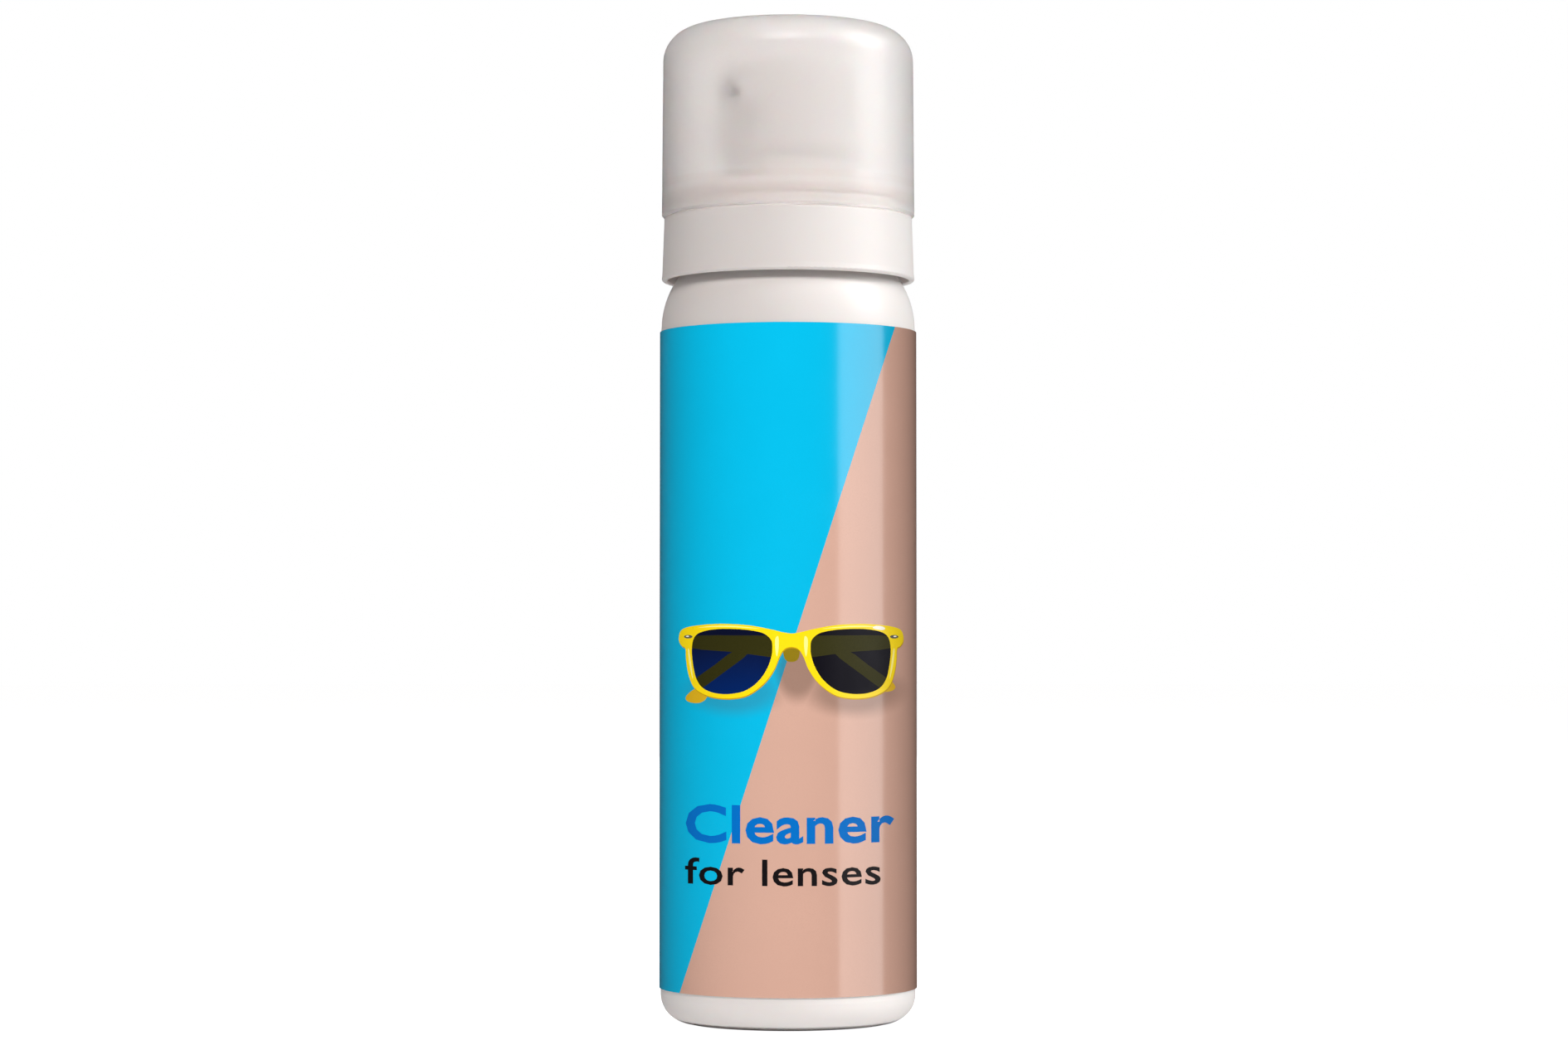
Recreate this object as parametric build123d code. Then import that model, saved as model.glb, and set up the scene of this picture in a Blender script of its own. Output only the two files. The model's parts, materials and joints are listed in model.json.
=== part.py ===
from build123d import *
import os
from math import acos, asin, degrees, radians, sin, sqrt, tan

# Lens cleaning spray: a slim refillable bottle with a finger-pump foam dispenser.
# Millimetres, +Z up. The origin is the centre of the base ring, the label's front faces -Y.
# Every part is turned about Z unless its function says otherwise.

# --- bottle -----------------------------------------------------------------------------
BODY_R = 17.5
WALL = 0.9
BASE_THICKNESS = 1.2
HEEL_R = 3.8
PUSH_UP = 1.6  # height of the hollow under the base
PUSH_UP_R = 12.2
PINCH_LENGTH = 17.0  # the line left where the mould closed on the base
PINCH_WIDTH = 0.6
PINCH_DEPTH = 0.35
SHOULDER_Z = 95.0
SHOULDER_ARC_R = 12.7
NECK_R = 13.9
NECK_BORE_R = 12.75
LIP_Z = 111.0
LIP_CHAMFER = 0.3

# --- thread between neck and collar -------------------------------------------------------
PITCH = 3.0
THREAD_TURNS = 1.25
THREAD_DEPTH = 0.8
THREAD_ROOT = 1.4  # width of the ridge at its wall
THREAD_CREST = 0.6
THREAD_SINK = 0.2  # how far the ridge is sunk in its wall, so that the two join
NECK_THREAD_Z = 105.3
COLLAR_THREAD_DROP = 0.97  # the collar's ridge sits just under the neck's

# --- label --------------------------------------------------------------------------------
LABEL_THICKNESS = 0.18
LABEL_GAP = 0.02
LABEL_Z = (4.7, 94.7)
LABEL_SEAM = 0.5  # butt gap at the back

# --- screw collar -------------------------------------------------------------------------
COLLAR_Z = 101.8
LEDGE_Z = 110.6  # where the overcap rests
DECK_Z = 114.5
DECK_THICKNESS = 1.5
COLLAR_FOOT_R = 17.5
COLLAR_TOP_R = 17.1
SKIRT_WALL = 0.9
SPIGOT_R = 16.15
COLLAR_BORE_R = 14.95
INNER_SKIRT_R = 15.75
INNER_SKIRT_Z = 103.4
GUIDE_R = (7.4, 8.4)  # tube that the head slides over
GUIDE_Z = 120.2

# --- overcap ------------------------------------------------------------------------------
CAP_FOOT_R = 17.46
CAP_R = 17.3
CAP_WALL = 1.1
CAP_FOOT_Z = LEDGE_Z + 0.1
CAP_TOP_Z = 137.3
CAP_CROWN_ARC_R = 160.0
CAP_CORNER_R = 4.6
CAP_BEAD = 0.13  # snap bead, clear of the spigot as modelled

# --- pump ---------------------------------------------------------------------------------
FLANGE_R = 14.7
GASKET_THICKNESS = 0.75
FLANGE_THICKNESS = 1.2
AIR_BORE_R = 11.2
AIR_CYLINDER_R = 12.3
AIR_FLOOR_Z = 103.0
LIQUID_BORE_R = 3.6
LIQUID_CYLINDER_R = 4.9
LIQUID_FLOOR_Z = 82.0
SEAT_BORE_R = 1.0
SEAT_DEPTH = 1.2
SOCKET_R = 3.3
SOCKET_Z = (69.0, 79.0)
SEAL_CLEARANCE = 0.05
BALL_R = 1.5
OUTLET_BALL_R = 1.4
BALL_GAP = 0.02
TUBE_R = 2.0
TUBE_BORE_R = 1.4
TUBE_FOOT_Z = 4.4
SPRING_R = 2.85
SPRING_WIRE_R = 0.25
SPRING_TURNS = 6.5
CAGE_Z = (82.02, 85.6)
PISTON_FOOT_Z = 96.0
STEM_R = 2.6
STEM_BORE_R = 0.95
STEM_SEAT_DEPTH = 0.95
STEM_HEAD_R = 3.35
STEM_HEAD_Z = (112.0, 114.5)
AIR_TUBE_R = 4.97
AIR_TUBE_BORE_R = 3.4
AIR_TUBE_Z = (108.6, 120.9)
WEB_Z = (110.2, 111.2)
BALL_STOP_Z = (116.9, 117.9)

# --- press head: 4 mm of stroke is left between its skirt and the collar's deck ------------
HEAD_R = 10.0
HEAD_BORE_R = 8.8
HEAD_Z = (119.1, 131.3)
HEAD_CORNER_R = 1.5
HEAD_CEILING_Z = 124.4
SLEEVE_R = 6.2  # tube inside the head that grips the air piston
SLEEVE_Z = 117.6
CHANNEL_Z = 126.3
CHANNEL_R = 1.3
SPOUT_TIP = 14.3
SPOUT_R = (2.5, 2.35)  # near the axis and at the tip
SPOUT_FROM_FRONT = 32.0  # degrees that the spout is turned to the left of the front
PAD_RADIUS = 24.0
PAD_DEPTH = 1.0
NOZZLE_R = 1.7
NOZZLE_LENGTH = 2.6

# --- foam screens -------------------------------------------------------------------------
SCREEN_Z = (121.0, 124.3)
SCREEN_SLEEVE_R = 4.95
SCREEN_SLEEVE_BORE_R = 3.9
MESH_R = 4.6
MESH_THICKNESS = 0.16
MESH_WIRE = 0.22
MESH_WIRES = 9


# --- helpers ------------------------------------------------------------------------------
def spun(*edges):
    """The closed outline of these edges, drawn as (radius, height), turned about Z."""
    return revolve(Plane.XZ * make_face(list(edges)), Axis.Z)


def turned(*corners):
    """A turned solid. Each corner is (radius, height), or (radius, height, fillet)."""
    points = [(r, z) for r, z, *_ in corners]
    fillets = [rest[0] if rest else 0 for _, _, *rest in corners]
    if not any(fillets):
        return spun(*Polyline(*points, close=True).edges())
    return spun(*FilletPolyline(*points, radius=fillets, close=True).edges())


def ring(inner, outer, bottom, top, rounding=0):
    """A plain turned ring, its outer top edge rounded."""
    if inner == 0:
        return turned((0, bottom), (outer, bottom), (outer, top, rounding), (0, top))
    return turned((inner, bottom), (outer, bottom), (outer, top, rounding), (inner, top))


def around(count, radius, shape):
    """Copies of a shape made at the origin, spaced evenly on a circle."""
    copies = [Rot(0, 0, k * 360 / count) * Pos(radius, 0, 0) * shape for k in range(count)]
    return Part() + copies


def thread(wall_r, outward, start_z):
    """A one-start trapezoid ridge on a wall of radius wall_r, standing outward (+1) or inward (-1)."""
    sunk = wall_r - outward * THREAD_SINK
    crest = wall_r + outward * THREAD_DEPTH
    section = Polyline(
        (sunk, -THREAD_ROOT / 2),
        (crest, -THREAD_CREST / 2),
        (crest, THREAD_CREST / 2),
        (sunk, THREAD_ROOT / 2),
        close=True,
    )
    path = Helix(PITCH, PITCH * THREAD_TURNS, wall_r, center=(0, 0, start_z))
    profile = Plane.XZ * make_face(section.edges())
    return sweep(Pos(0, 0, start_z) * profile, path=path, is_frenet=True)


def seated_ball(ball_r, bore_r, bore_z):
    """A ball resting on the 45 degree seat that widens upward from a bore's end at bore_z."""
    return Pos(0, 0, bore_z + ball_r * sqrt(2) - bore_r + BALL_GAP) * Sphere(ball_r)


def dome_edge(centre_z, edge_r, edge_z):
    """A shallow arc from the axis out to (edge_r, edge_z), level at the axis."""
    rise = centre_z - edge_z
    arc_r = (edge_r**2 + rise**2) / (2 * rise)
    middle_r = edge_r / 2
    middle_z = centre_z - arc_r + sqrt(arc_r**2 - middle_r**2)
    return ThreePointArc((0, centre_z), (middle_r, middle_z), (edge_r, edge_z))


# --- bottle, label, overcap -----------------------------------------------------------------
def bottle_shell(inset, base_z, push_up, neck_r, top_z):
    """The bottle's outer (inset 0) or inner (inset WALL) form as a full solid."""
    wall_r = BODY_R - inset
    heel = HEEL_R - inset
    arc_r = SHOULDER_ARC_R - inset
    arc_centre_r = BODY_R - SHOULDER_ARC_R
    reach = degrees(acos((neck_r - arc_centre_r) / arc_r))
    neck_z = SHOULDER_Z + arc_r * sin(radians(reach))
    ring_r = wall_r - heel
    return spun(
        Line((0, top_z), (0, base_z + push_up)),
        dome_edge(base_z + push_up, PUSH_UP_R, base_z),
        Line((PUSH_UP_R, base_z), (ring_r, base_z)),
        CenterArc((ring_r, base_z + heel), heel, -90, 90),
        Line((wall_r, base_z + heel), (wall_r, SHOULDER_Z)),
        CenterArc((arc_centre_r, SHOULDER_Z), arc_r, 0, reach),
        Polyline(
            (neck_r, neck_z),
            (neck_r, top_z - LIP_CHAMFER),
            (neck_r - LIP_CHAMFER, top_z),
            (0, top_z),
        ),
    )


def make_bottle():
    """Blown shell with a threaded neck, a pushed-up base and the mould's pinch-off line across it."""
    outside = bottle_shell(0, 0, PUSH_UP, NECK_R, LIP_Z)
    inside = bottle_shell(WALL, BASE_THICKNESS, PUSH_UP, NECK_BORE_R, LIP_Z - 1)
    mouth = ring(0, NECK_BORE_R, LIP_Z - 2, LIP_Z + 1)
    ridge = ring(0, PINCH_LENGTH / 2, 0, PUSH_UP + 0.3) & Box(PINCH_LENGTH, PINCH_WIDTH, 20)
    ridge &= bottle_shell(0, -PINCH_DEPTH, PUSH_UP, NECK_R, LIP_Z)
    return outside - inside - mouth + thread(NECK_R, 1, NECK_THREAD_Z) + ridge


def make_label():
    """A wrap-round label, its two ends butted at the back."""
    inner = BODY_R + LABEL_GAP
    sleeve = ring(inner, inner + LABEL_THICKNESS, *LABEL_Z)
    return sleeve - Pos(0, BODY_R, sum(LABEL_Z) / 2) * Box(LABEL_SEAM, 4, 200)


def cap_top(inset):
    """The cap's crown and its rounded corner, drawn inset from the outside, meeting without a kink."""
    corner_r = CAP_R - CAP_CORNER_R
    lean = degrees(asin(corner_r / (CAP_CROWN_ARC_R - CAP_CORNER_R)))
    crown_z = CAP_TOP_Z - CAP_CROWN_ARC_R
    corner_z = crown_z + corner_r / tan(radians(lean))
    crown = CenterArc((0, crown_z), CAP_CROWN_ARC_R - inset, 90 - lean, lean)
    corner = CenterArc((corner_r, corner_z), CAP_CORNER_R - inset, 0, 90 - lean)
    return crown, corner, corner_z


def make_overcap():
    """A thin frosted cup, open below, with a rounded top corner and a snap bead inside."""
    outer_crown, outer_corner, corner_z = cap_top(0)
    inner_crown, inner_corner, _ = cap_top(CAP_WALL)
    inner_r = CAP_R - CAP_WALL
    foot_bore_r = CAP_FOOT_R - CAP_WALL
    bead_z = CAP_FOOT_Z + 1.6
    side = Polyline(
        (CAP_R, corner_z),
        (CAP_FOOT_R, CAP_FOOT_Z + 0.25),
        (CAP_FOOT_R - 0.25, CAP_FOOT_Z),
        (foot_bore_r + 0.2, CAP_FOOT_Z),
        (foot_bore_r, CAP_FOOT_Z + 0.3),
        (foot_bore_r, bead_z - 0.4),
        (foot_bore_r - CAP_BEAD, bead_z),
        (foot_bore_r, bead_z + 0.4),
        (foot_bore_r, DECK_Z + 0.3),
        (inner_r, DECK_Z + 1.0),
        (inner_r, corner_z),
    )
    axis = Line((0, CAP_TOP_Z - CAP_WALL), (0, CAP_TOP_Z))
    return spun(outer_crown, outer_corner, *side.edges(), inner_corner, inner_crown, axis)


# --- screw collar ---------------------------------------------------------------------------
def make_collar():
    """Outer skirt, threaded inner skirt, spigot for the overcap and guide tube for the head."""
    deck_under = DECK_Z - DECK_THICKNESS
    outer_skirt = turned(
        (COLLAR_FOOT_R - SKIRT_WALL, COLLAR_Z, 0.3),
        (COLLAR_FOOT_R, COLLAR_Z, 0.35),
        (COLLAR_FOOT_R - 0.12, COLLAR_Z + 1.0),
        (COLLAR_TOP_R, LEDGE_Z, 0.3),
        (INNER_SKIRT_R - 0.3, LEDGE_Z),
        (INNER_SKIRT_R - 0.3, LEDGE_Z - 1.1),
        (COLLAR_TOP_R - SKIRT_WALL, LEDGE_Z - 1.1, 0.3),
    )
    inner_skirt = ring(COLLAR_BORE_R, INNER_SKIRT_R, INNER_SKIRT_Z, LEDGE_Z)
    groove_z = CAP_FOOT_Z + 1.6
    spigot = turned(
        (COLLAR_BORE_R, LEDGE_Z - 0.5),
        (SPIGOT_R, LEDGE_Z - 0.5),
        (SPIGOT_R, groove_z - 0.5),
        (SPIGOT_R - 0.25, groove_z, 0.3),
        (SPIGOT_R, groove_z + 0.5),
        (SPIGOT_R, DECK_Z, 0.5),
        (COLLAR_BORE_R, DECK_Z),
    )
    deck = ring(GUIDE_R[0], SPIGOT_R - 0.6, deck_under, DECK_Z)
    fillet_foot = turned(
        (GUIDE_R[1] - 0.2, DECK_Z - 0.2),
        (GUIDE_R[1] + 0.5, DECK_Z - 0.2),
        (GUIDE_R[1] + 0.5, DECK_Z + 0.02),
        (GUIDE_R[1] - 0.2, DECK_Z + 0.4),
    )
    guide = turned(
        (GUIDE_R[0], deck_under),
        (GUIDE_R[1], deck_under),
        (GUIDE_R[1], GUIDE_Z, 0.3),
        (GUIDE_R[0], GUIDE_Z, 0.3),
    )
    ridge = thread(COLLAR_BORE_R, -1, NECK_THREAD_Z - COLLAR_THREAD_DROP)
    return outer_skirt + inner_skirt + spigot + deck + fillet_foot + guide + ridge


# --- pump body ------------------------------------------------------------------------------
FLANGE_Z = LIP_Z + GASKET_THICKNESS
FLANGE_TOP_Z = FLANGE_Z + FLANGE_THICKNESS


def make_gasket():
    return ring(NECK_BORE_R + 0.1, FLANGE_R, LIP_Z + 0.02, FLANGE_Z)


def make_housing():
    """Double cylinder: wide air bore above, narrow liquid bore below, then the dip tube's socket."""
    wall = 1.2
    body = turned(
        (FLANGE_R, FLANGE_TOP_Z, 0.2),
        (FLANGE_R, FLANGE_Z),
        (AIR_CYLINDER_R, FLANGE_Z),
        (AIR_CYLINDER_R, AIR_FLOOR_Z - wall, 1.0),
        (LIQUID_CYLINDER_R, AIR_FLOOR_Z - wall, 0.5),
        (LIQUID_CYLINDER_R, SOCKET_Z[1] + 1.6),
        (SOCKET_R, SOCKET_Z[1]),
        (SOCKET_R, SOCKET_Z[0], 0.3),
        (TUBE_R + 0.02, SOCKET_Z[0]),
        (TUBE_R + 0.02, SOCKET_Z[1]),
        (SEAT_BORE_R, SOCKET_Z[1]),
        (SEAT_BORE_R, LIQUID_FLOOR_Z - SEAT_DEPTH),
        (SEAT_BORE_R + SEAT_DEPTH, LIQUID_FLOOR_Z),
        (LIQUID_BORE_R, LIQUID_FLOOR_Z),
        (LIQUID_BORE_R, AIR_FLOOR_Z),
        (AIR_BORE_R, AIR_FLOOR_Z),
        (AIR_BORE_R, FLANGE_TOP_Z),
    )
    vent_z = 110.3  # between the air piston's lips at rest, open once it is pressed
    vent = Pos(0, AIR_BORE_R + 0.5, vent_z) * Rot(90, 0, 0) * Cylinder(0.5, 4)
    return body - vent


def make_dip_tube():
    """Straight suction tube, its foot cut to a V so that it can't seal against the base."""
    tube = ring(TUBE_BORE_R, TUBE_R, TUBE_FOOT_Z, SOCKET_Z[1] - 0.1)
    notch = Pos(0, 0, TUBE_FOOT_Z) * Rot(0, 45, 0) * Box(1.8, 10, 1.8)
    return tube - notch


def make_ball_cage():
    """Ring that keeps the inlet ball near its seat and carries the spring's foot."""
    bottom, top = CAGE_Z
    bar_height = 1.2
    wall = ring(BALL_R + 0.5, LIQUID_BORE_R - SEAL_CLEARANCE, bottom, top)
    bar = Pos(0, 0, top - bar_height / 2) * Box(2 * (BALL_R + 0.7), 0.8, bar_height)
    return wall + bar + Rot(0, 0, 90) * bar


def make_inlet_ball():
    return seated_ball(BALL_R, SEAT_BORE_R, LIQUID_FLOOR_Z - SEAT_DEPTH)


def make_spring():
    """Round-wire compression spring with ground ends."""
    bottom, top = CAGE_Z[1] + 0.02, PISTON_FOOT_Z - 0.02
    height = top - bottom
    path = Helix(height / SPRING_TURNS, height, SPRING_R, center=(0, 0, bottom))
    wire = Plane(origin=path @ 0, z_dir=path % 0) * Circle(SPRING_WIRE_R)
    coil = sweep(wire, path=path, is_frenet=True)
    slab = Pos(0, 0, (bottom + top) / 2) * Box(20, 20, height)
    return coil & slab


# --- pistons and valves ---------------------------------------------------------------------
def make_liquid_piston():
    """Hollow stem with a two-lipped piston below, and the outlet ball's seat on top."""
    lip_r = LIQUID_BORE_R - SEAL_CLEARANCE
    z = PISTON_FOOT_Z
    head_bottom, head_top = STEM_HEAD_Z
    body = turned(
        (lip_r, z),
        (lip_r, z + 0.5),
        (lip_r - 0.35, z + 1.2),
        (lip_r - 0.35, z + 2.4),
        (lip_r, z + 3.1),
        (lip_r, z + 3.6),
        (STEM_R, z + 3.6),
        (STEM_R, head_bottom),
        (STEM_HEAD_R, head_bottom),
        (STEM_HEAD_R, head_top),
        (STEM_BORE_R + STEM_SEAT_DEPTH, head_top),
        (STEM_BORE_R, head_top - STEM_SEAT_DEPTH),
        (STEM_BORE_R, z + 2.0),
        (2.0, z),
    )
    groove = Pos(0, 0, sum(STEM_HEAD_Z) / 2) * Box(1.0, 1.1, 4)
    return body - around(4, STEM_HEAD_R, groove)


def make_outlet_ball():
    return seated_ball(OUTLET_BALL_R, STEM_BORE_R, STEM_HEAD_Z[1] - STEM_SEAT_DEPTH)


def make_air_piston():
    """Wide piston with two lips, a web with air holes, and the central tube up to the head."""
    lip_r = AIR_BORE_R - SEAL_CLEARANCE
    web_bottom, web_top = WEB_Z
    top = FLANGE_TOP_Z - 0.15
    body = turned(
        (AIR_TUBE_BORE_R, AIR_TUBE_Z[0]),
        (AIR_TUBE_R, AIR_TUBE_Z[0]),
        (AIR_TUBE_R, web_bottom),
        (lip_r - 0.95, web_bottom),
        (lip_r - 0.65, web_bottom - 1.0),
        (lip_r, web_bottom - 1.4),
        (lip_r, web_bottom - 0.9),
        (lip_r - 0.3, web_bottom - 0.3),
        (lip_r - 0.3, top - 0.9),
        (lip_r, top - 0.4),
        (lip_r, top),
        (lip_r - 0.55, top),
        (lip_r - 0.95, web_top),
        (AIR_TUBE_R, web_top),
        (AIR_TUBE_R, AIR_TUBE_Z[1]),
        (AIR_TUBE_BORE_R, AIR_TUBE_Z[1]),
        (AIR_TUBE_BORE_R, BALL_STOP_Z[1]),
        (0, BALL_STOP_Z[1]),
        (0, BALL_STOP_Z[0]),
        (AIR_TUBE_BORE_R, BALL_STOP_Z[0]),
    )
    air_hole = Pos(0, 0, sum(WEB_Z) / 2) * Cylinder(0.6, 3)
    flow_hole = Pos(0, 0, sum(BALL_STOP_Z) / 2) * Cylinder(0.7, 3)
    return body - around(6, 7.5, air_hole) - around(4, 2.1, flow_hole)


def make_air_inlet_valve():
    """Rubber flap that covers the web's air holes from below."""
    flap_top = WEB_Z[0] - 0.04
    bore = AIR_TUBE_R + 0.03
    return turned(
        (bore, flap_top),
        (bore, flap_top - 1.1, 0.2),
        (bore + 0.8, flap_top - 1.1, 0.2),
        (bore + 1.0, flap_top - 0.4),
        (8.9, flap_top - 0.25),
        (8.9, flap_top),
    )


def make_air_outlet_valve():
    """Rubber disc at the tube's foot: air can pass up to the foam, liquid can't come down."""
    top = AIR_TUBE_Z[0] - 0.04
    bore = STEM_R + 0.02
    return turned(
        (bore, top),
        (bore, top - 0.9, 0.15),
        (bore + 0.6, top - 0.9, 0.15),
        (bore + 0.8, top - 0.35),
        (AIR_TUBE_R - 0.1, top - 0.2),
        (AIR_TUBE_R - 0.1, top),
    )


# --- foam screens ---------------------------------------------------------------------------
def make_mesh_holder():
    bottom, top = SCREEN_Z
    sleeve = ring(SCREEN_SLEEVE_BORE_R, SCREEN_SLEEVE_R, bottom, top)
    recess = MESH_THICKNESS
    for z in (bottom, top - recess):
        sleeve -= ring(0, MESH_R, z, z + recess)
    return sleeve


def make_mesh(bottom):
    """One woven screen, drawn as a flat grid in a welded rim."""
    middle = bottom + MESH_THICKNESS / 2
    rim = ring(SCREEN_SLEEVE_BORE_R - 0.1, MESH_R - 0.02, bottom, bottom + MESH_THICKNESS)
    spacing = 2 * SCREEN_SLEEVE_BORE_R / (MESH_WIRES + 1)
    wires = []
    for k in range(MESH_WIRES):
        offset = (k - (MESH_WIRES - 1) / 2) * spacing
        length = 2 * sqrt(SCREEN_SLEEVE_BORE_R**2 - offset**2)
        wires.append(Pos(0, offset, middle) * Box(length, MESH_WIRE, MESH_THICKNESS))
        wires.append(Pos(offset, 0, middle) * Box(MESH_WIRE, length, MESH_THICKNESS))
    return rim + wires


# --- press head -----------------------------------------------------------------------------
SPOUT_TURN = Rot(0, 0, -90 - SPOUT_FROM_FRONT)


def along_spout(inner_x, outer_x, radius, tip_radius=None):
    """A round bar or cone lying along the spout, from one distance off the axis to another."""
    length = outer_x - inner_x
    middle = Pos((inner_x + outer_x) / 2, 0, CHANNEL_Z) * Rot(0, 90, 0)
    if tip_radius is None:
        return middle * Cylinder(radius, length)
    return middle * Cone(radius, tip_radius, length)


def make_head():
    """Round finger head with a dished pad, a short spout and the foam channel through both."""
    bottom, top = HEAD_Z
    skin = turned(
        (0, bottom),
        (HEAD_R, bottom, 0.3),
        (HEAD_R - 0.35, top, HEAD_CORNER_R),
        (0, top),
    )
    spout = along_spout(3.0, SPOUT_TIP, *SPOUT_R)
    spout = fillet(spout.edges().group_by(Axis.X)[-1], 0.3)
    outside = skin + spout
    outside = fillet(new_edges(skin, spout, combined=outside), 0.9)
    outside -= Pos(0, 0, top - PAD_DEPTH + PAD_RADIUS) * Sphere(PAD_RADIUS)
    socket_r = AIR_TUBE_R + 0.02
    cavity = ring(0, HEAD_BORE_R, bottom - 1, HEAD_CEILING_Z)
    sleeve = ring(socket_r, SLEEVE_R, SLEEVE_Z, HEAD_CEILING_Z + 0.2)
    riser = ring(0, 2.5, HEAD_CEILING_Z - 1, CHANNEL_Z)
    channel = along_spout(0, SPOUT_TIP + 1, CHANNEL_R)
    nozzle_seat = along_spout(SPOUT_TIP - NOZZLE_LENGTH, SPOUT_TIP + 1, NOZZLE_R)
    head = outside - cavity + sleeve - riser - channel - nozzle_seat
    return SPOUT_TURN * head


def make_nozzle():
    """Insert pressed into the spout's mouth, narrowing the channel to the spray orifice."""
    seat_x = SPOUT_TIP - NOZZLE_LENGTH
    body = along_spout(seat_x + 0.02, SPOUT_TIP + 0.15, NOZZLE_R - 0.01)
    orifice = along_spout(seat_x, SPOUT_TIP + 1, 0.75)
    flare = along_spout(SPOUT_TIP - 0.75, SPOUT_TIP + 0.16, 0.75, 1.55)
    back = along_spout(seat_x, seat_x + 0.8, CHANNEL_R, 0.75)
    return SPOUT_TURN * (body - orifice - flare - back)


# --- write the parts ------------------------------------------------------------------------
PARTS = {
    "bottle": make_bottle,
    "label": make_label,
    "overcap": make_overcap,
    "screw_collar": make_collar,
    "neck_gasket": make_gasket,
    "pump_housing": make_housing,
    "dip_tube": make_dip_tube,
    "ball_cage": make_ball_cage,
    "inlet_ball": make_inlet_ball,
    "return_spring": make_spring,
    "liquid_piston": make_liquid_piston,
    "outlet_ball": make_outlet_ball,
    "air_piston": make_air_piston,
    "air_inlet_valve": make_air_inlet_valve,
    "air_outlet_valve": make_air_outlet_valve,
    "mesh_holder": make_mesh_holder,
    "mesh_lower": lambda: make_mesh(SCREEN_Z[0]),
    "mesh_upper": lambda: make_mesh(SCREEN_Z[1] - MESH_THICKNESS),
    "press_head": make_head,
    "nozzle_insert": make_nozzle,
}

os.makedirs("parts", exist_ok=True)
for name, make in PARTS.items():
    export_step(make(), f"parts/{name}.step")
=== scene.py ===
import json
import math
import bmesh
import bpy
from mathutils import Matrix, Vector
from mathutils.geometry import delaunay_2d_cdt


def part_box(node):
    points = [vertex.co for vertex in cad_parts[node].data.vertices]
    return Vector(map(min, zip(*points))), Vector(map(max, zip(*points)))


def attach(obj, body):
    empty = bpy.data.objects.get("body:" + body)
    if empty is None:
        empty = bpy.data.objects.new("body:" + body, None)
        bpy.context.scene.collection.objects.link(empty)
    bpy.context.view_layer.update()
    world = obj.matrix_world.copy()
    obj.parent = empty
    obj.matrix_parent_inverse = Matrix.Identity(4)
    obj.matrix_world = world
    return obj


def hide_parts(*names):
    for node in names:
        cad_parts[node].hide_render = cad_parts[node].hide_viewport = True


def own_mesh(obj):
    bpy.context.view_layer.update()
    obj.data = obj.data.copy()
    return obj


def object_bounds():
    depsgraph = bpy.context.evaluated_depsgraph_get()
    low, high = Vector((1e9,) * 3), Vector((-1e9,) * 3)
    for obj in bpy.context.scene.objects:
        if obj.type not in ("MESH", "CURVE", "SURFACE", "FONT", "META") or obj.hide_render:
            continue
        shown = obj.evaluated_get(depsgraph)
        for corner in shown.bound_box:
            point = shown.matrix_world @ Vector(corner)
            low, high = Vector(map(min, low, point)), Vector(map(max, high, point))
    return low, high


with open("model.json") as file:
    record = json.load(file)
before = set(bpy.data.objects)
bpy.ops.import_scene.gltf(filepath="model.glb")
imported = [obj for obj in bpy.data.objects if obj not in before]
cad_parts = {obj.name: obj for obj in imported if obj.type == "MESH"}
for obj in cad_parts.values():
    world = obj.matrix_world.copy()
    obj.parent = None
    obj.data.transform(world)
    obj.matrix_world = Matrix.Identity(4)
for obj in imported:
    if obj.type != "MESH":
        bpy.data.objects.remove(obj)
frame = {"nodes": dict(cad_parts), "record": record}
cad_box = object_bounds()
MM = 0.001
MICRON = 1e-6

# Where the camera stands: in front of the object, level with the middle of the label's picture.
CAMERA = Vector((-0.57, -515.0, 50.2)) * MM
CAMERA_TILT = math.radians(2.036)
CAMERA_LENS = 85.75
CAMERA_SENSOR = 36.0

# Light, in watts and, for the world and the floor's glow, in radiance.
POWER = {
    "front": 8.3, "key": 5.4, "fill": 0.5, "print": 16.6, "streak": 12,
    "top": 0.5, "back": 1.5, "rear": 14, "bounce": 0.15, "world": 0.05,
}
# Azimuth from the front and elevation in degrees; distance, width and height in metres.
PLACE = {
    "front": (-3, 42, 1.2, 0.7, 0.35),
    "key": (80, 32, 0.9, 0.5, 0.6),
    "fill": (-72, 4, 0.9, 0.5, 1.2),
    "print": (-3, 32, 1.2, 0.3, 0.6),
    "streak": (69, 6, 0.9, 0.8, 1.5),
    "top": (20, 72, 1.0, 0.6, 0.6),
    "back": (180, 15, 1.2, 0.9, 1.2),
    "rear": (180, 25, 1.2, 1.8, 1.0),
    "bounce": (0, -90, 0.0695, 0.3, 0.3),
}
LIGHTS_FACE = Vector((0, 0, 70)) * MM  # the point that every light is turned toward
LETTER_SPACING = 1.05
FLOOR_GLOW = 0.97
FLOOR_RADIUS = 6.0
FLOOR_DROP = 0.02 * MM

# Painted shade on the cap: darker rings standing in for the spigot's shade, in millimetres: height, half
# width and how much light they keep.
CAP_PAINTED_SHADE_RINGS = ((112.5, 1.5, 0.955), (114.9, 0.7, 0.975))

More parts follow.
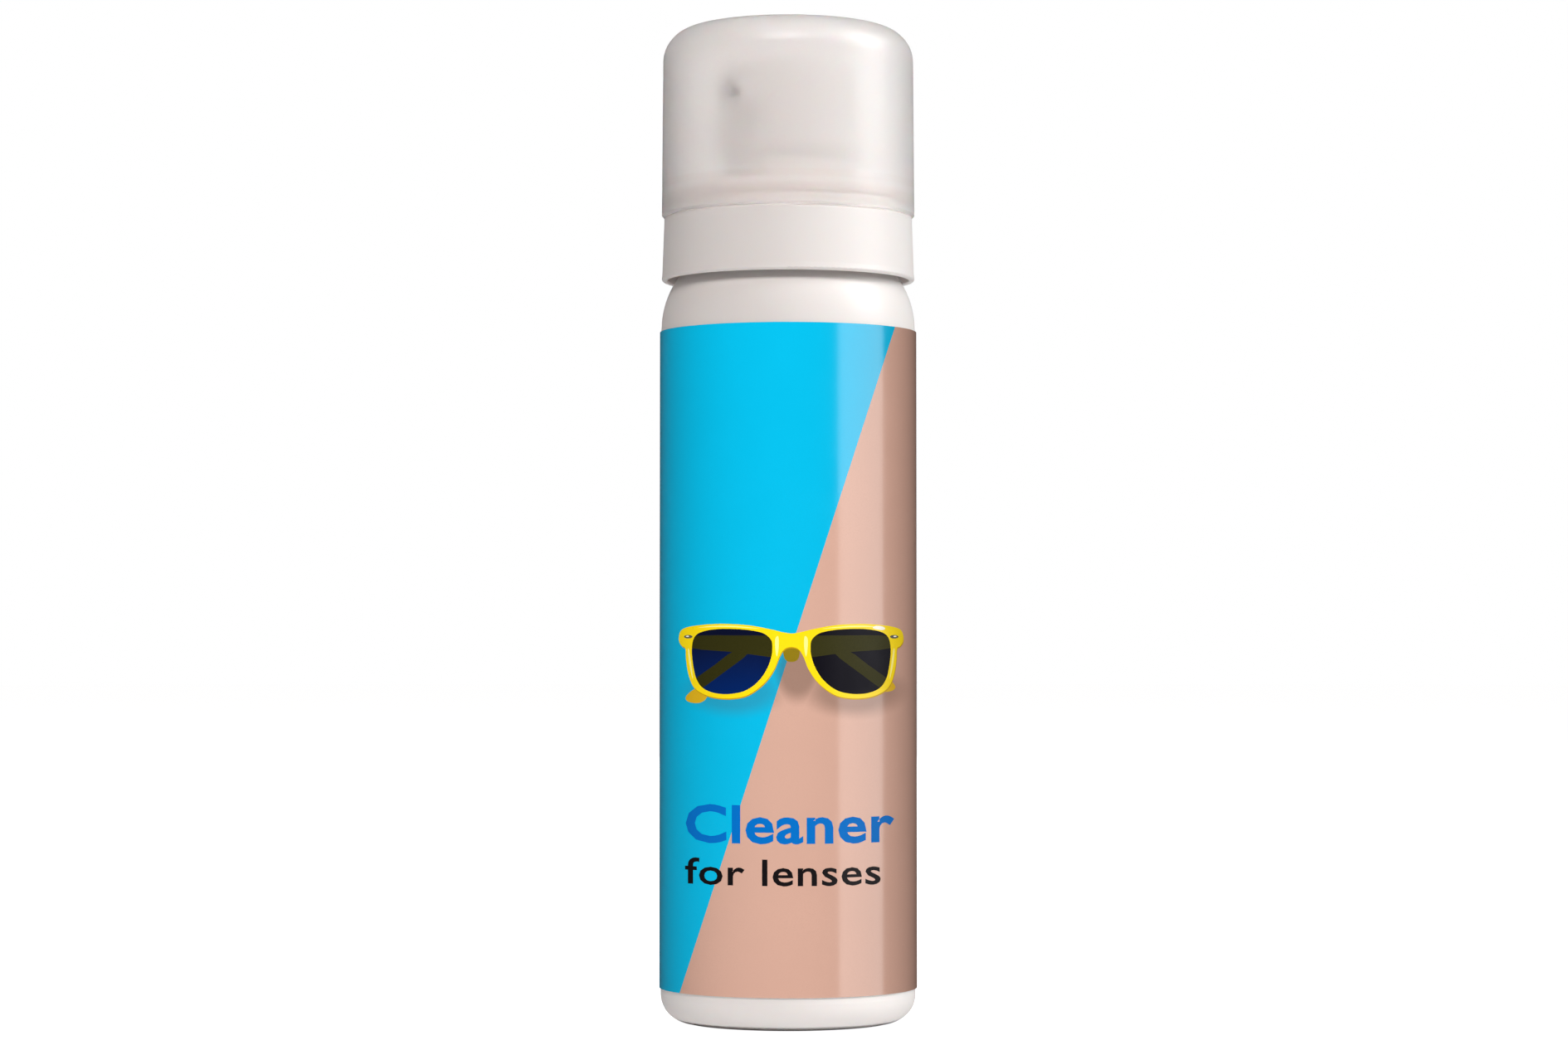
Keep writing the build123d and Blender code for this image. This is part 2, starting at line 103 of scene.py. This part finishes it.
# The label, in millimetres. Flat artwork is laid out as it reads from the front.
FILM = 0.18
COLUMN_STEP = 2.0  # degrees between the label mesh's columns
ROW_STEP = 6.0
SEAM_GAP = 0.5
TIGHT = 1e-5  # points closer than this are one point
SLIVER = 1e-14  # a triangle is left out if twice its area, in square metres, is below this
LABEL_GROUND = "label_cyan"
LABEL_BACK = "label_back"
INKS_WITH_HOLES = ("label_title", "label_subtitle")
INKS_WITHIN = {"label_lens_arm": "label_lens"}  # seen only through the second
SPLIT_TOP = 14.49  # where the slanting line between the two colours meets the label's edges
SPLIT_BOTTOM = -14.63
SPLIT_STEPS = 60
FARTHEST_SINE = 0.995  # how far round the side artwork can be unrolled
GLASSES_X = 0.42
# The glasses' printed shadow is three ovals: middle, half width, half height and strength.
PRINTED_SHADOW = ((8.9, 45.4, 8.4, 4.2, 0.45), (-7.2, 45.4, 8.4, 4.0, 0.30), (1.2, 48.0, 4.0, 5.0, 0.50))
TITLE_BOX = (-13.8, 25.3, 14.3, 30.3)
SUBTITLE_BOX = (-13.9, 19.6, 12.4, 23.1)


# --- materials ----------------------------------------------------------------------------
class Material:
    """A node material with short calls to add and join nodes."""

    def __init__(self, name):
        self.made = bpy.data.materials.new(name)
        self.made.use_nodes = True
        self.tree = self.made.node_tree
        self.bsdf = self.tree.nodes["Principled BSDF"]
        self.coords = self.node("ShaderNodeTexCoord").outputs["Object"]

    def node(self, kind, inputs=None, **settings):
        made = self.tree.nodes.new(kind)
        for key, value in settings.items():
            setattr(made, key, value)
        for key, value in (inputs or {}).items():
            self.put(made.inputs[key], value)
        return made

    def put(self, socket, value):
        if isinstance(value, bpy.types.NodeSocket):
            self.tree.links.new(value, socket)
        else:
            socket.default_value = value

    def noise(self, size, detail):
        """Noise with blobs of about this size."""
        inputs = {"Vector": self.coords, "Scale": 1 / size, "Detail": detail, "Roughness": 0.5}
        return self.node("ShaderNodeTexNoise", inputs).outputs["Fac"]

    def spread(self, value, low, high, start=0.3, end=0.7):
        """The value's range from start to end, mapped to low to high."""
        inputs = {"Value": value, "From Min": start, "From Max": end, "To Min": low, "To Max": high}
        return self.node("ShaderNodeMapRange", inputs).outputs["Result"]

    def fade(self, value, none, full, most=1.0):
        """A soft step, from 0 where the value is `none` to `most` where it is `full`."""
        inputs = {"Value": value, "From Min": none, "From Max": full, "To Min": 0.0, "To Max": most}
        return self.node("ShaderNodeMapRange", inputs, interpolation_type="SMOOTHSTEP").outputs["Result"]

    def axes(self):
        return self.node("ShaderNodeSeparateXYZ", {"Vector": self.coords}).outputs

    def mix(self, factor, first, second, blend="MIX"):
        made = self.node("ShaderNodeMix", data_type="RGBA", blend_type=blend)
        self.put(made.inputs["Factor"], factor)
        for socket, value in zip([s for s in made.inputs if s.type == "RGBA"], (first, second)):
            self.put(socket, value)
        return [s for s in made.outputs if s.type == "RGBA"][0]

    def math(self, operation, *values):
        made = self.node("ShaderNodeMath", operation=operation)
        for socket, value in zip(made.inputs, values):
            self.put(socket, value)
        return made.outputs[0]

    def bump(self, height, distance, below=None):
        inputs = {"Height": height, "Distance": distance, "Strength": 1.0}
        if below is not None:
            inputs["Normal"] = below
        return self.node("ShaderNodeBump", inputs).outputs["Normal"]

    def set(self, **inputs):
        for key, value in inputs.items():
            self.put(self.bsdf.inputs[key.replace("_", " ")], value)
        return self


def shade(color, factor):
    return (color[0] * factor, color[1] * factor, color[2] * factor, 1.0)


def srgb(red, green, blue):
    """Linear colour of an 8-bit sRGB one."""
    values = [c / 255 for c in (red, green, blue)]
    return tuple(c / 12.92 if c <= 0.04045 else ((c + 0.055) / 1.055) ** 2.4 for c in values)


def moulded(name, color, roughness, cloud=0.012, grain=MICRON, **sockets):
    """Injection-moulded plastic: faint clouding, slow surface waves, fine grain and uneven gloss."""
    m = Material(name)
    clouds = m.spread(m.noise(12 * MM, detail=4), 0, 1)
    m.set(Base_Color=m.mix(clouds, shade(color, 1 - cloud), shade(color, 1 + cloud / 2)))
    m.set(Roughness=m.spread(m.noise(4 * MM, detail=5), roughness * 0.88, roughness * 1.14))
    waves = m.bump(m.noise(6 * MM, detail=1), MICRON)
    m.set(Normal=m.bump(m.noise(0.25 * MM, detail=4), grain, below=waves))
    return m.set(**sockets)


def frosted(name, color, transmission, roughness, lets_lamps_through, **sockets):
    """Milky plastic with a fine spark-eroded frosting. Lamps shine through it onto what is inside."""
    m = Material(name)
    clouds = m.spread(m.noise(18 * MM, detail=3), 0, 1)
    m.plain_color = m.mix(clouds, shade(color, 0.99), shade(color, 1.005))
    m.set(Base_Color=m.plain_color)
    m.set(Roughness=m.spread(m.noise(6 * MM, detail=5), roughness * 0.94, roughness * 1.06))
    m.set(Normal=m.bump(m.noise(0.3 * MM, detail=5), 3 * MICRON))
    m.set(Transmission_Weight=transmission, IOR=1.49, **sockets)
    clear = m.node("ShaderNodeBsdfTransparent").outputs["BSDF"]
    lamp = m.node("ShaderNodeLightPath").outputs["Is Shadow Ray"]
    both = m.node("ShaderNodeMixShader", {0: m.math("MULTIPLY", lamp, lets_lamps_through)})
    m.tree.links.new(m.bsdf.outputs["BSDF"], both.inputs[1])
    m.tree.links.new(clear, both.inputs[2])
    m.tree.links.new(both.outputs["Shader"], m.tree.nodes["Material Output"].inputs["Surface"])
    return m


def paint_shade_rings(m):
    """Painted shade: soft darker rings in the cap's colour round its foot, where the collar's spigot
    stands close behind the wall.
    """
    height = m.axes()["Z"]
    color = m.plain_color
    for ring_z, half_width, kept in CAP_PAINTED_SHADE_RINGS:
        away = m.math("ABSOLUTE", m.math("SUBTRACT", height, ring_z * MM))
        amount = m.fade(away, half_width * MM, 0.4 * half_width * MM)
        color = m.mix(amount, color, (kept, 0.985 * kept, 0.98 * kept, 1.0), blend="MULTIPLY")
    m.set(Base_Color=color)
    return m


def printed(name, color, unevenness=0.015, roughness=0.16, shine=0.5):
    """Ink under the label's clear film: faint dot screen, slight unevenness, soft gloss."""
    m = Material(name)
    screen = {"Vector": m.coords, "Scale": 1 / (0.25 * MM)}
    dots = m.node("ShaderNodeTexVoronoi", screen).outputs["Distance"]
    clouds = m.spread(m.noise(10 * MM, detail=3), 0, 1)
    base = m.mix(clouds, shade(color, 1 - unevenness), shade(color, 1 + unevenness))
    m.plain_color = m.mix(m.spread(dots, 0, 1, 0.1, 0.6), shade(color, 1 - unevenness), base)
    m.set(Base_Color=m.plain_color, Specular_IOR_Level=shine)
    m.set(Roughness=m.spread(m.noise(5 * MM, detail=4), roughness * 0.9, roughness * 1.15))
    m.set(Normal=m.bump(m.noise(6 * MM, detail=2), MICRON))
    return m


def darken_under_glasses(m):
    """The soft printed shadow that the picture's glasses cast just below themselves."""
    axes = m.axes()
    darkest = 0.0
    for middle_x, middle_z, half_x, half_z, strength in PRINTED_SHADOW:
        dx = m.math("DIVIDE", m.math("SUBTRACT", axes["X"], middle_x * MM), half_x * MM)
        dz = m.math("DIVIDE", m.math("SUBTRACT", axes["Z"], middle_z * MM), half_z * MM)
        distance = m.math("SQRT", m.math("ADD", m.math("MULTIPLY", dx, dx), m.math("MULTIPLY", dz, dz)))
        darkest = m.math("MAXIMUM", darkest, m.fade(distance, 1.0, 0.45, strength))
    front = m.spread(axes["Y"], 1, 0, -2 * MM, 0)
    m.set(Base_Color=m.mix(m.math("MULTIPLY", darkest, front), m.plain_color, SHADOW_INK))


def tint_lens(m):
    """The left lens turns navy toward its foot and the right one stays nearly black."""
    axes = m.axes()
    left = m.spread(axes["X"], 1, 0, -4 * MM, 3 * MM)
    low = m.spread(axes["Z"], 1, 0.15, 45 * MM, 53 * MM)
    m.set(Base_Color=m.mix(m.math("MULTIPLY", left, low), m.plain_color, (*srgb(0, 34, 96), 1.0)))


WHITE = (0.87, 0.83, 0.81)
SHADOW_INK = (0.05, 0.03, 0.015, 1.0)
FINISHES = {
    "bottle_plastic": lambda n: moulded(n, WHITE, 0.36, Subsurface_Weight=0.08, Subsurface_Scale=0.001),
    "collar_plastic": lambda n: moulded(n, WHITE, 0.40, Subsurface_Weight=0.10, Subsurface_Scale=0.001),
    "cap_plastic": lambda n: paint_shade_rings(
        frosted(n, (0.94, 0.917, 0.908), 0.74, 0.34, 0.31, Subsurface_Weight=0.3, Subsurface_Scale=0.002)
    ),
    # Painted shade: the head gets a grey darker than white so that it shows through the cap as a shaded
    # patch.
    "head_plastic": lambda n: moulded(n, (0.70, 0.67, 0.66), 0.32),
    "nozzle_plastic": lambda n: moulded(n, (0.60, 0.575, 0.565), 0.38),
    "pump_plastic": lambda n: moulded(n, (0.78, 0.79, 0.76), 0.36, Transmission_Weight=0.15),
    "tube_plastic": lambda n: frosted(n, (0.85, 0.87, 0.86), 0.7, 0.3, 0.6),
    "valve_rubber": lambda n: moulded(n, (0.52, 0.54, 0.55), 0.6, grain=4 * MICRON),
    "gasket_foam": lambda n: moulded(n, (0.70, 0.70, 0.68), 0.8, grain=10 * MICRON),
    "mesh_nylon": lambda n: moulded(n, (0.80, 0.80, 0.77), 0.5),
    "valve_steel": lambda n: moulded(n, (0.60, 0.60, 0.61), 0.12, cloud=0.01, Metallic=1.0),
    "spring_steel": lambda n: moulded(n, (0.50, 0.50, 0.51), 0.28, cloud=0.05, Metallic=1.0),
}


def clothe_cad_nodes():
    """Gives each carried-over CAD node the finish of its slot, where this script has one."""
    slots = {s["node"]: s["material_slot"] for s in frame["record"]["subparts"]}
    made = {slot: build(slot).made for slot, build in FINISHES.items()}
    for node, obj in frame["nodes"].items():
        if slots[node] in made:
            obj.data.materials.clear()
            obj.data.materials.append(made[slots[node]])


# --- label ----------------------------------------------------------------------------------
def smooth_loop(points, steps=6):
    """A closed Catmull-Rom curve through the points."""
    count, curve = len(points), []
    for k in range(count):
        a, b, c, d = (Vector(points[(k + offset) % count]) for offset in (-1, 0, 1, 2))
        for step in range(steps):
            t = step / steps
            squared = (2 * a - 5 * b + 4 * c - d) * t**2
            cubed = (3 * b - a - 3 * c + d) * t**3
            curve.append(0.5 * (2 * b + (c - a) * t + squared + cubed))
    return [(p.x, p.y) for p in curve]


def mirrored(half):
    """A closed outline from its right half, listed from the top middle down to the bottom middle."""
    return half + [(-x, z) for x, z in reversed(half) if x > 0]


def shift(points, dx=GLASSES_X, dz=0.0):
    return [(x + dx, z + dz) for x, z in points]


def flip(points):
    return [(-x, z) for x, z in reversed(points)]


def oval(centre_x, centre_z, half_x, half_z, steps=16):
    turns = [2 * math.pi * k / steps for k in range(steps)]
    return [(centre_x + half_x * math.cos(t), centre_z + half_z * math.sin(t)) for t in turns]


FRAME_HALF = [
    (0.0, 53.1), (1.1, 53.25), (3.0, 53.7), (5.8, 54.2), (9.3, 54.4), (12.2, 54.25), (14.1, 53.95),
    (15.0, 53.4), (15.2, 52.2), (14.75, 51.45), (14.3, 51.1), (14.2, 49.6), (13.85, 47.6), (13.1, 45.9),
    (11.7, 44.95), (9.95, 44.5), (7.85, 44.45), (5.7, 44.95), (3.6, 46.5), (2.3, 48.3), (1.6, 50.0),
    (0.95, 51.0), (0.0, 51.3),
]
LENS = [
    (2.55, 51.3), (2.75, 52.3), (3.7, 53.1), (5.3, 53.5), (7.4, 53.7), (9.9, 53.7), (12.0, 53.35),
    (13.05, 52.6), (13.4, 51.0), (13.2, 48.8), (12.75, 47.0), (11.8, 45.75), (10.05, 45.1), (7.95, 45.05),
    (6.0, 45.55), (4.3, 46.85), (3.2, 48.5), (2.65, 50.1),
]
FOLDED_ARM = [(1.5, 50.0), (1.5, 52.5), (7.5, 52.85), (13.6, 52.7), (13.6, 51.2), (7.5, 50.6)]
ARM_SLANT = [(5.6, 50.6), (7.6, 50.8), (10.3, 48.9), (13.2, 46.7), (12.4, 45.6), (9.3, 47.7)]
ARM_BEHIND_BRIDGE = [(-1.0, 51.6), (0.9, 51.6), (1.0, 49.9), (0.2, 49.3), (-0.9, 49.7)]
ARM_END = [
    (11.2, 45.4), (12.8, 45.7), (13.9, 45.0), (14.25, 44.3), (13.6, 43.85), (12.4, 43.8), (11.5, 44.3),
]
TOP_GLINT = [(4.0, 53.72), (7.6, 54.12), (10.4, 54.14), (12.6, 53.9), (10.4, 53.98), (7.6, 53.95)]
BAR_GLINT = [(10.9, 53.85), (11.4, 54.15), (12.3, 54.05), (12.6, 53.7), (11.9, 53.6)]
SIDE_GLINT = [(13.75, 50.9), (13.95, 50.9), (13.75, 49.0), (13.25, 46.9), (13.45, 48.8)]
BRIDGE_GLINT = [(1.75, 52.7), (2.15, 52.4), (2.15, 51.2), (1.95, 50.0), (1.7, 51.2)]
RIVET = oval(13.9, 52.7, 0.6, 0.24)
RIVET_GLINT = oval(14.0, 52.75, 0.22, 0.09)


def text_loops(body, box, bolder=0.0):
    """Outlines of a line of text in Blender's own font, fitted to a box in millimetres."""
    curve = bpy.data.curves.new("lettering", "FONT")
    curve.body = body
    curve.offset = bolder
    curve.space_character = LETTER_SPACING
    curve.resolution_u = 3
    holder = bpy.data.objects.new("lettering", curve)
    bpy.context.scene.collection.objects.link(holder)
    bpy.context.view_layer.update()
    mesh = bpy.data.meshes.new_from_object(holder)
    bm = bmesh.new()
    bm.from_mesh(mesh)
    bmesh.ops.remove_doubles(bm, verts=bm.verts, dist=TIGHT)
    bm.edges.index_update()
    edges = {e.index: e for e in bm.edges if len(e.link_faces) == 1}
    loops = []
    while edges:
        _, edge = edges.popitem()
        start, vert = edge.verts
        loop = [start.co.copy(), vert.co.copy()]
        while vert is not start:
            edge = next(e for e in vert.link_edges if e.index in edges)
            del edges[edge.index]
            vert = edge.other_vert(vert)
            loop.append(vert.co.copy())
        loops.append(loop[:-1])
    bm.free()
    bpy.data.objects.remove(holder)
    bpy.data.curves.remove(curve)
    bpy.data.meshes.remove(mesh)
    first = min(p.x for loop in loops for p in loop)
    last = max(p.x for loop in loops for p in loop)
    tallest = max(p.y for loop in loops for p in loop)
    left, bottom, right, top = box
    across = (right - left) / (last - first)
    up = (top - bottom) / tallest
    return [[(left + (p.x - first) * across, bottom + p.y * up) for p in loop] for loop in loops]


class Outline:
    """A closed outline that can tell which points lie within it."""

    def __init__(self, loop):
        self.sides = list(zip(loop, loop[1:] + loop[:1]))
        self.low = [min(p[k] for p in loop) for k in (0, 1)]
        self.high = [max(p[k] for p in loop) for k in (0, 1)]

    def holds(self, u, z):
        if not (self.low[0] < u < self.high[0] and self.low[1] < z < self.high[1]):
            return False
        inside = False
        for (u1, z1), (u2, z2) in self.sides:
            if (z1 > z) != (z2 > z) and u < u1 + (z - z1) / (z2 - z1) * (u2 - u1):
                inside = not inside
        return inside


def label_artwork(low, high):
    """(ink, loops) in millimetres as read from the front; later inks lie over earlier ones."""
    split = []
    for k in range(SPLIT_STEPS + 1):
        share = k / SPLIT_STEPS
        split.append((SPLIT_BOTTOM + (SPLIT_TOP - SPLIT_BOTTOM) * share, low + (high - low) * share))
    frame_loop = smooth_loop(mirrored(FRAME_HALF))

    def placed(points, steps=3):
        return shift(smooth_loop(points, steps))

    def both(points, steps=3):
        return [placed(points, steps), placed(flip(points), steps)]

    arm_ends = [placed(flip(ARM_END), 4), shift(placed(ARM_END, 4), -0.2, 1.5)]
    rivets = [shift(p) for p in (RIVET, flip(RIVET))]
    rivet_glints = [shift(p) for p in (RIVET_GLINT, flip(RIVET_GLINT))]
    return [
        ("label_salmon", [split]),
        ("label_arm", arm_ends),
        ("label_arm_shade", [placed(ARM_BEHIND_BRIDGE)]),
        ("label_rim_shade", [shift(frame_loop, GLASSES_X + 0.05, -0.16)]),
        ("label_rim", [shift(frame_loop)]),
        ("label_glint", both(TOP_GLINT) + both(BRIDGE_GLINT) + both(SIDE_GLINT)),
        ("label_rivet", rivets),
        ("label_white", [placed(BAR_GLINT)] + rivet_glints),
        ("label_lens", both(LENS, 6)),
        ("label_lens_arm", both(FOLDED_ARM) + both(ARM_SLANT)),
        ("label_title", text_loops("Cleaner", TITLE_BOX, 0.024)),
        ("label_subtitle", text_loops("for lenses", SUBTITLE_BOX, 0.012)),
    ]


def label_plan(edge, bottom, top, unroll):
    """The unrolled label's points and edges, and the outline of each patch of ink."""
    points, edges, outlines = [], [], []

    def add_loop(loop):
        first = len(points)
        points.extend(Vector(p) for p in loop)
        ring = [first + k for k in range(len(loop))]
        edges.extend((ring[k - 1], ring[k]) for k in range(len(ring)))

    def add_line(start, end):
        points.extend((Vector(start), Vector(end)))
        edges.append((len(points) - 2, len(points) - 1))

    add_loop([(-edge, bottom), (edge, bottom), (edge, top), (-edge, top)])
    columns = int(360 / COLUMN_STEP)
    for k in range(1, columns):
        u = -edge + 2 * edge * k / columns
        add_line((u, bottom), (u, top))
    rows = int((top - bottom) / ROW_STEP)
    for k in range(1, rows):
        z = bottom + (top - bottom) * k / rows
        add_line((-edge, z), (edge, z))
    for ink, loops in label_artwork(bottom, top):
        for loop in loops:
            flat = [(unroll(x), z) for x, z in loop]
            if ink == "label_salmon":
                flat += [(edge, top), (edge, bottom)]
            add_loop(flat)
            outlines.append((ink, Outline(flat)))
    return points, edges, outlines


def ink_at(u, z, outlines, order):
    """The uppermost ink at a place on the unrolled label."""
    found = [ink for ink, outline in outlines if outline.holds(u, z)]
    for ink in reversed(order):
        hits = found.count(ink)
        if hits and (ink not in INKS_WITH_HOLES or hits % 2) and INKS_WITHIN.get(ink, ink) in found:
            return ink
    return LABEL_GROUND


def label_shell(corners, triangles, inks, kinds, outer):
    """The flat triangles wrapped round the bottle, each in its ink, with a back and rims."""

    def wrap(corner, radius):
        turn = corner.x / outer
        return Vector((radius * math.sin(turn), -radius * math.cos(turn), corner.y)) * MM

    bm = bmesh.new()
    outside = [bm.verts.new(wrap(corner, outer)) for corner in corners]
    inside = [bm.verts.new(wrap(corner, outer - FILM)) for corner in corners]
    for triangle, ink in zip(triangles, inks):
        a, b, c = (outside[i].co for i in triangle)
        if (b - a).cross(c - a).length < SLIVER:
            continue
        bm.faces.new([outside[i] for i in triangle]).material_index = kinds.index(ink)
        bm.faces.new([inside[i] for i in reversed(triangle)]).material_index = kinds.index(LABEL_BACK)
    twin = dict(zip(outside, inside))
    for rim in [e for e in bm.edges if len(e.link_faces) == 1 and e.verts[0] in twin]:
        loop = rim.link_loops[0]
        a, b = loop.vert, loop.link_loop_next.vert
        bm.faces.new([b, a, twin[a], twin[b]]).material_index = kinds.index(LABEL_BACK)
    bmesh.ops.recalc_face_normals(bm, faces=bm.faces)
    mesh = bpy.data.meshes.new("label_print")
    bm.to_mesh(mesh)
    bm.free()
    return mesh


def round_off(mesh):
    """Normals of a true cylinder on the label's faces, and flat ones on its rims."""
    mesh.polygons.foreach_set("use_smooth", [True] * len(mesh.polygons))
    normals = []
    for poly in mesh.polygons:
        for index in poly.loop_indices:
            place = mesh.vertices[mesh.loops[index].vertex_index].co
            radial = Vector((place.x, place.y, 0)).normalized()
            if abs(poly.normal.z) > 0.7 or abs(poly.normal.dot(radial)) < 0.5:
                normals.append(poly.normal.copy())
            else:
                normals.append(radial if poly.normal.dot(radial) > 0 else -radial)
    mesh.normals_split_custom_set(normals)


def make_label(inks):
    """The wrap-round label as one closed shell, its printing cut into the outer face."""
    low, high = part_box("label")
    outer = (high.x - low.x) / 2 / MM
    half_seam = math.asin(SEAM_GAP / 2 / outer)
    edge = outer * (math.pi - half_seam)

    def unroll(x):
        return outer * math.asin(max(-FARTHEST_SINE, min(FARTHEST_SINE, x / outer)))

    points, edges, outlines = label_plan(edge, low.z / MM, high.z / MM, unroll)
    corners, _, triangles, _, _, _ = delaunay_2d_cdt(points, edges, [], 0, TIGHT)
    order = [LABEL_GROUND, *dict.fromkeys(ink for ink, _ in outlines)]
    found = []
    for triangle in triangles:
        u = sum(corners[i].x for i in triangle) / 3
        z = sum(corners[i].y for i in triangle) / 3
        found.append(ink_at(u, z, outlines, order))
    kinds = [*order, LABEL_BACK]
    mesh = label_shell(corners, triangles, found, kinds, outer)
    round_off(mesh)
    label = bpy.data.objects.new("label_print", mesh)
    bpy.context.scene.collection.objects.link(label)
    for name in kinds:
        mesh.materials.append(inks[name].made)
    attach(label, "bottle")
    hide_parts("label")
    return label


MATT = {"roughness": 0.5, "shine": 0.12}
SOFT = {"roughness": 0.3, "shine": 0.3}
INKS = {
    "label_cyan": ((0, 182, 224), {}),
    "label_salmon": ((209, 166, 148), {}),
    "label_arm": ((215, 172, 28), SOFT),
    "label_arm_shade": ((140, 118, 18), SOFT),
    "label_rim_shade": ((196, 152, 14), {"unevenness": 0.05, **SOFT}),
    "label_rim": ((250, 218, 14), {"unevenness": 0.03, **SOFT}),
    "label_glint": ((255, 242, 140), SOFT),
    "label_rivet": ((92, 92, 84), {"unevenness": 0.1, **SOFT}),
    "label_white": ((252, 250, 235), SOFT),
    "label_lens": ((12, 10, 20), {"unevenness": 0.1, **MATT}),
    "label_lens_arm": ((50, 48, 16), {"unevenness": 0.08, **MATT}),
    "label_title": ((0, 108, 192), MATT),
    "label_subtitle": ((22, 18, 20), MATT),
}


def make_inks():
    inks = {name: printed(name, srgb(*color), **look) for name, (color, look) in INKS.items()}
    inks[LABEL_BACK] = moulded(LABEL_BACK, (0.80, 0.80, 0.79), 0.5)
    darken_under_glasses(inks["label_cyan"])
    darken_under_glasses(inks["label_salmon"])
    tint_lens(inks["label_lens"])
    return inks


# --- spring ---------------------------------------------------------------------------------
def make_spring():
    """The return spring as its own piece on its own body; the real spring shortens as the head is pressed.
    """
    source = frame["nodes"]["return_spring"]
    spring = bpy.data.objects.new("return_spring_coil", source.data.copy())
    bpy.context.scene.collection.objects.link(spring)
    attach(spring, "spring")
    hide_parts("return_spring")
    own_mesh(spring)


# --- studio ---------------------------------------------------------------------------------
def soft_light(name, color=(1, 1, 1), glossy=True, diffuse=True):
    """A rectangular softbox turned toward the object's middle; azimuths to the right are positive."""
    azimuth, elevation, distance, width, height = PLACE[name]
    light = bpy.data.lights.new(name, "AREA")
    light.shape = "RECTANGLE"
    light.size, light.size_y = width, height
    light.energy = POWER[name]
    light.color = color
    a, e = math.radians(azimuth), math.radians(elevation)
    direction = Vector((math.sin(a) * math.cos(e), -math.cos(a) * math.cos(e), math.sin(e)))
    holder = bpy.data.objects.new(name, light)
    holder.location = LIGHTS_FACE + direction * distance
    holder.rotation_mode = "QUATERNION"
    holder.rotation_quaternion = (-direction).to_track_quat("-Z", "Y")
    holder.visible_glossy = glossy
    holder.visible_diffuse = diffuse
    bpy.context.scene.collection.objects.link(holder)
    return holder


def limit_light(light, pieces, only=False):
    """Keeps a light off these pieces, or lets it reach only them."""
    receivers = bpy.data.collections.new(light.name + "_receivers")
    for piece in pieces:
        receivers.objects.link(piece)
    for entry in receivers.collection_objects:
        entry.light_linking.link_state = "INCLUDE" if only else "EXCLUDE"
    light.light_linking.receiver_collection = receivers


def make_lights(label):
    """The studio's softboxes. The label has a light and a streak of its own in place of the main three."""
    front = soft_light("front", color=(1.0, 0.96, 0.94), glossy=False)
    key = soft_light("key", color=(0.98, 1.0, 1.0))
    fill = soft_light("fill", color=(1.0, 0.86, 0.82), glossy=False)
    own = soft_light("print", glossy=False)
    streak = soft_light("streak", diffuse=False)
    soft_light("top")
    soft_light("back", glossy=False)
    rear = soft_light("rear", glossy=False)
    bounce = soft_light("bounce", glossy=False)
    bounce.visible_camera = False
    nodes = frame["nodes"]
    for light in (front, key, fill):
        limit_light(light, [label])
    for light in (own, streak):
        limit_light(light, [label], only=True)
    limit_light(rear, [nodes["overcap"], nodes["press_head"]])
    limit_light(bounce, [nodes["bottle"], nodes["screw_collar"]], only=True)


def make_floor():
    """A plain floor: white where it is looked at, dim where it lights the object."""
    bm = bmesh.new()
    bmesh.ops.create_circle(bm, cap_ends=True, radius=FLOOR_RADIUS, segments=96)
    mesh = bpy.data.meshes.new("studio_floor")
    bm.to_mesh(mesh)
    bm.free()
    floor = bpy.data.objects.new("studio_floor", mesh)
    floor.location.z = cad_box[0].z - FLOOR_DROP
    bpy.context.scene.collection.objects.link(floor)
    m = Material("studio_floor")
    path = m.node("ShaderNodeLightPath").outputs
    seen = m.math("MAXIMUM", path["Is Camera Ray"], path["Is Transmission Ray"])
    m.set(Base_Color=(0.5, 0.5, 0.5, 1), Roughness=0.9, Emission_Color=(1, 1, 1, 1))
    m.set(Emission_Strength=m.math("MULTIPLY", seen, FLOOR_GLOW))
    mesh.materials.append(m.made)
    floor.visible_glossy = False


def make_world():
    """White behind the object and seen through its frosted cap, dim and warm as light."""
    world = bpy.data.worlds.new("studio")
    bpy.context.scene.world = world
    world.use_nodes = True
    tree = world.node_tree
    seen = tree.nodes["Background"]
    seen.inputs["Color"].default_value = (1, 1, 1, 1)
    seen.inputs["Strength"].default_value = 1.0
    lit = tree.nodes.new("ShaderNodeBackground")
    lit.inputs["Color"].default_value = (1.0, 0.88, 0.84, 1)
    lit.inputs["Strength"].default_value = POWER["world"]
    path = tree.nodes.new("ShaderNodeLightPath")
    either = tree.nodes.new("ShaderNodeMath")
    either.operation = "MAXIMUM"
    tree.links.new(path.outputs["Is Camera Ray"], either.inputs[0])
    tree.links.new(path.outputs["Is Transmission Ray"], either.inputs[1])
    mix = tree.nodes.new("ShaderNodeMixShader")
    tree.links.new(either.outputs[0], mix.inputs[0])
    tree.links.new(lit.outputs[0], mix.inputs[1])
    tree.links.new(seen.outputs[0], mix.inputs[2])
    tree.links.new(mix.outputs[0], tree.nodes["World Output"].inputs["Surface"])


def make_camera():
    data = bpy.data.cameras.new("camera")
    data.lens = CAMERA_LENS
    data.sensor_width = CAMERA_SENSOR
    data.clip_start = 0.01
    camera = bpy.data.objects.new("camera", data)
    camera.location = CAMERA
    camera.rotation_euler = (math.pi / 2 + CAMERA_TILT, 0, 0)
    bpy.context.scene.collection.objects.link(camera)
    bpy.context.scene.camera = camera


clothe_cad_nodes()
label = make_label(make_inks())
make_spring()
make_floor()
make_world()
make_camera()
make_lights(label)
bpy.context.scene.view_settings.view_transform = "Standard"
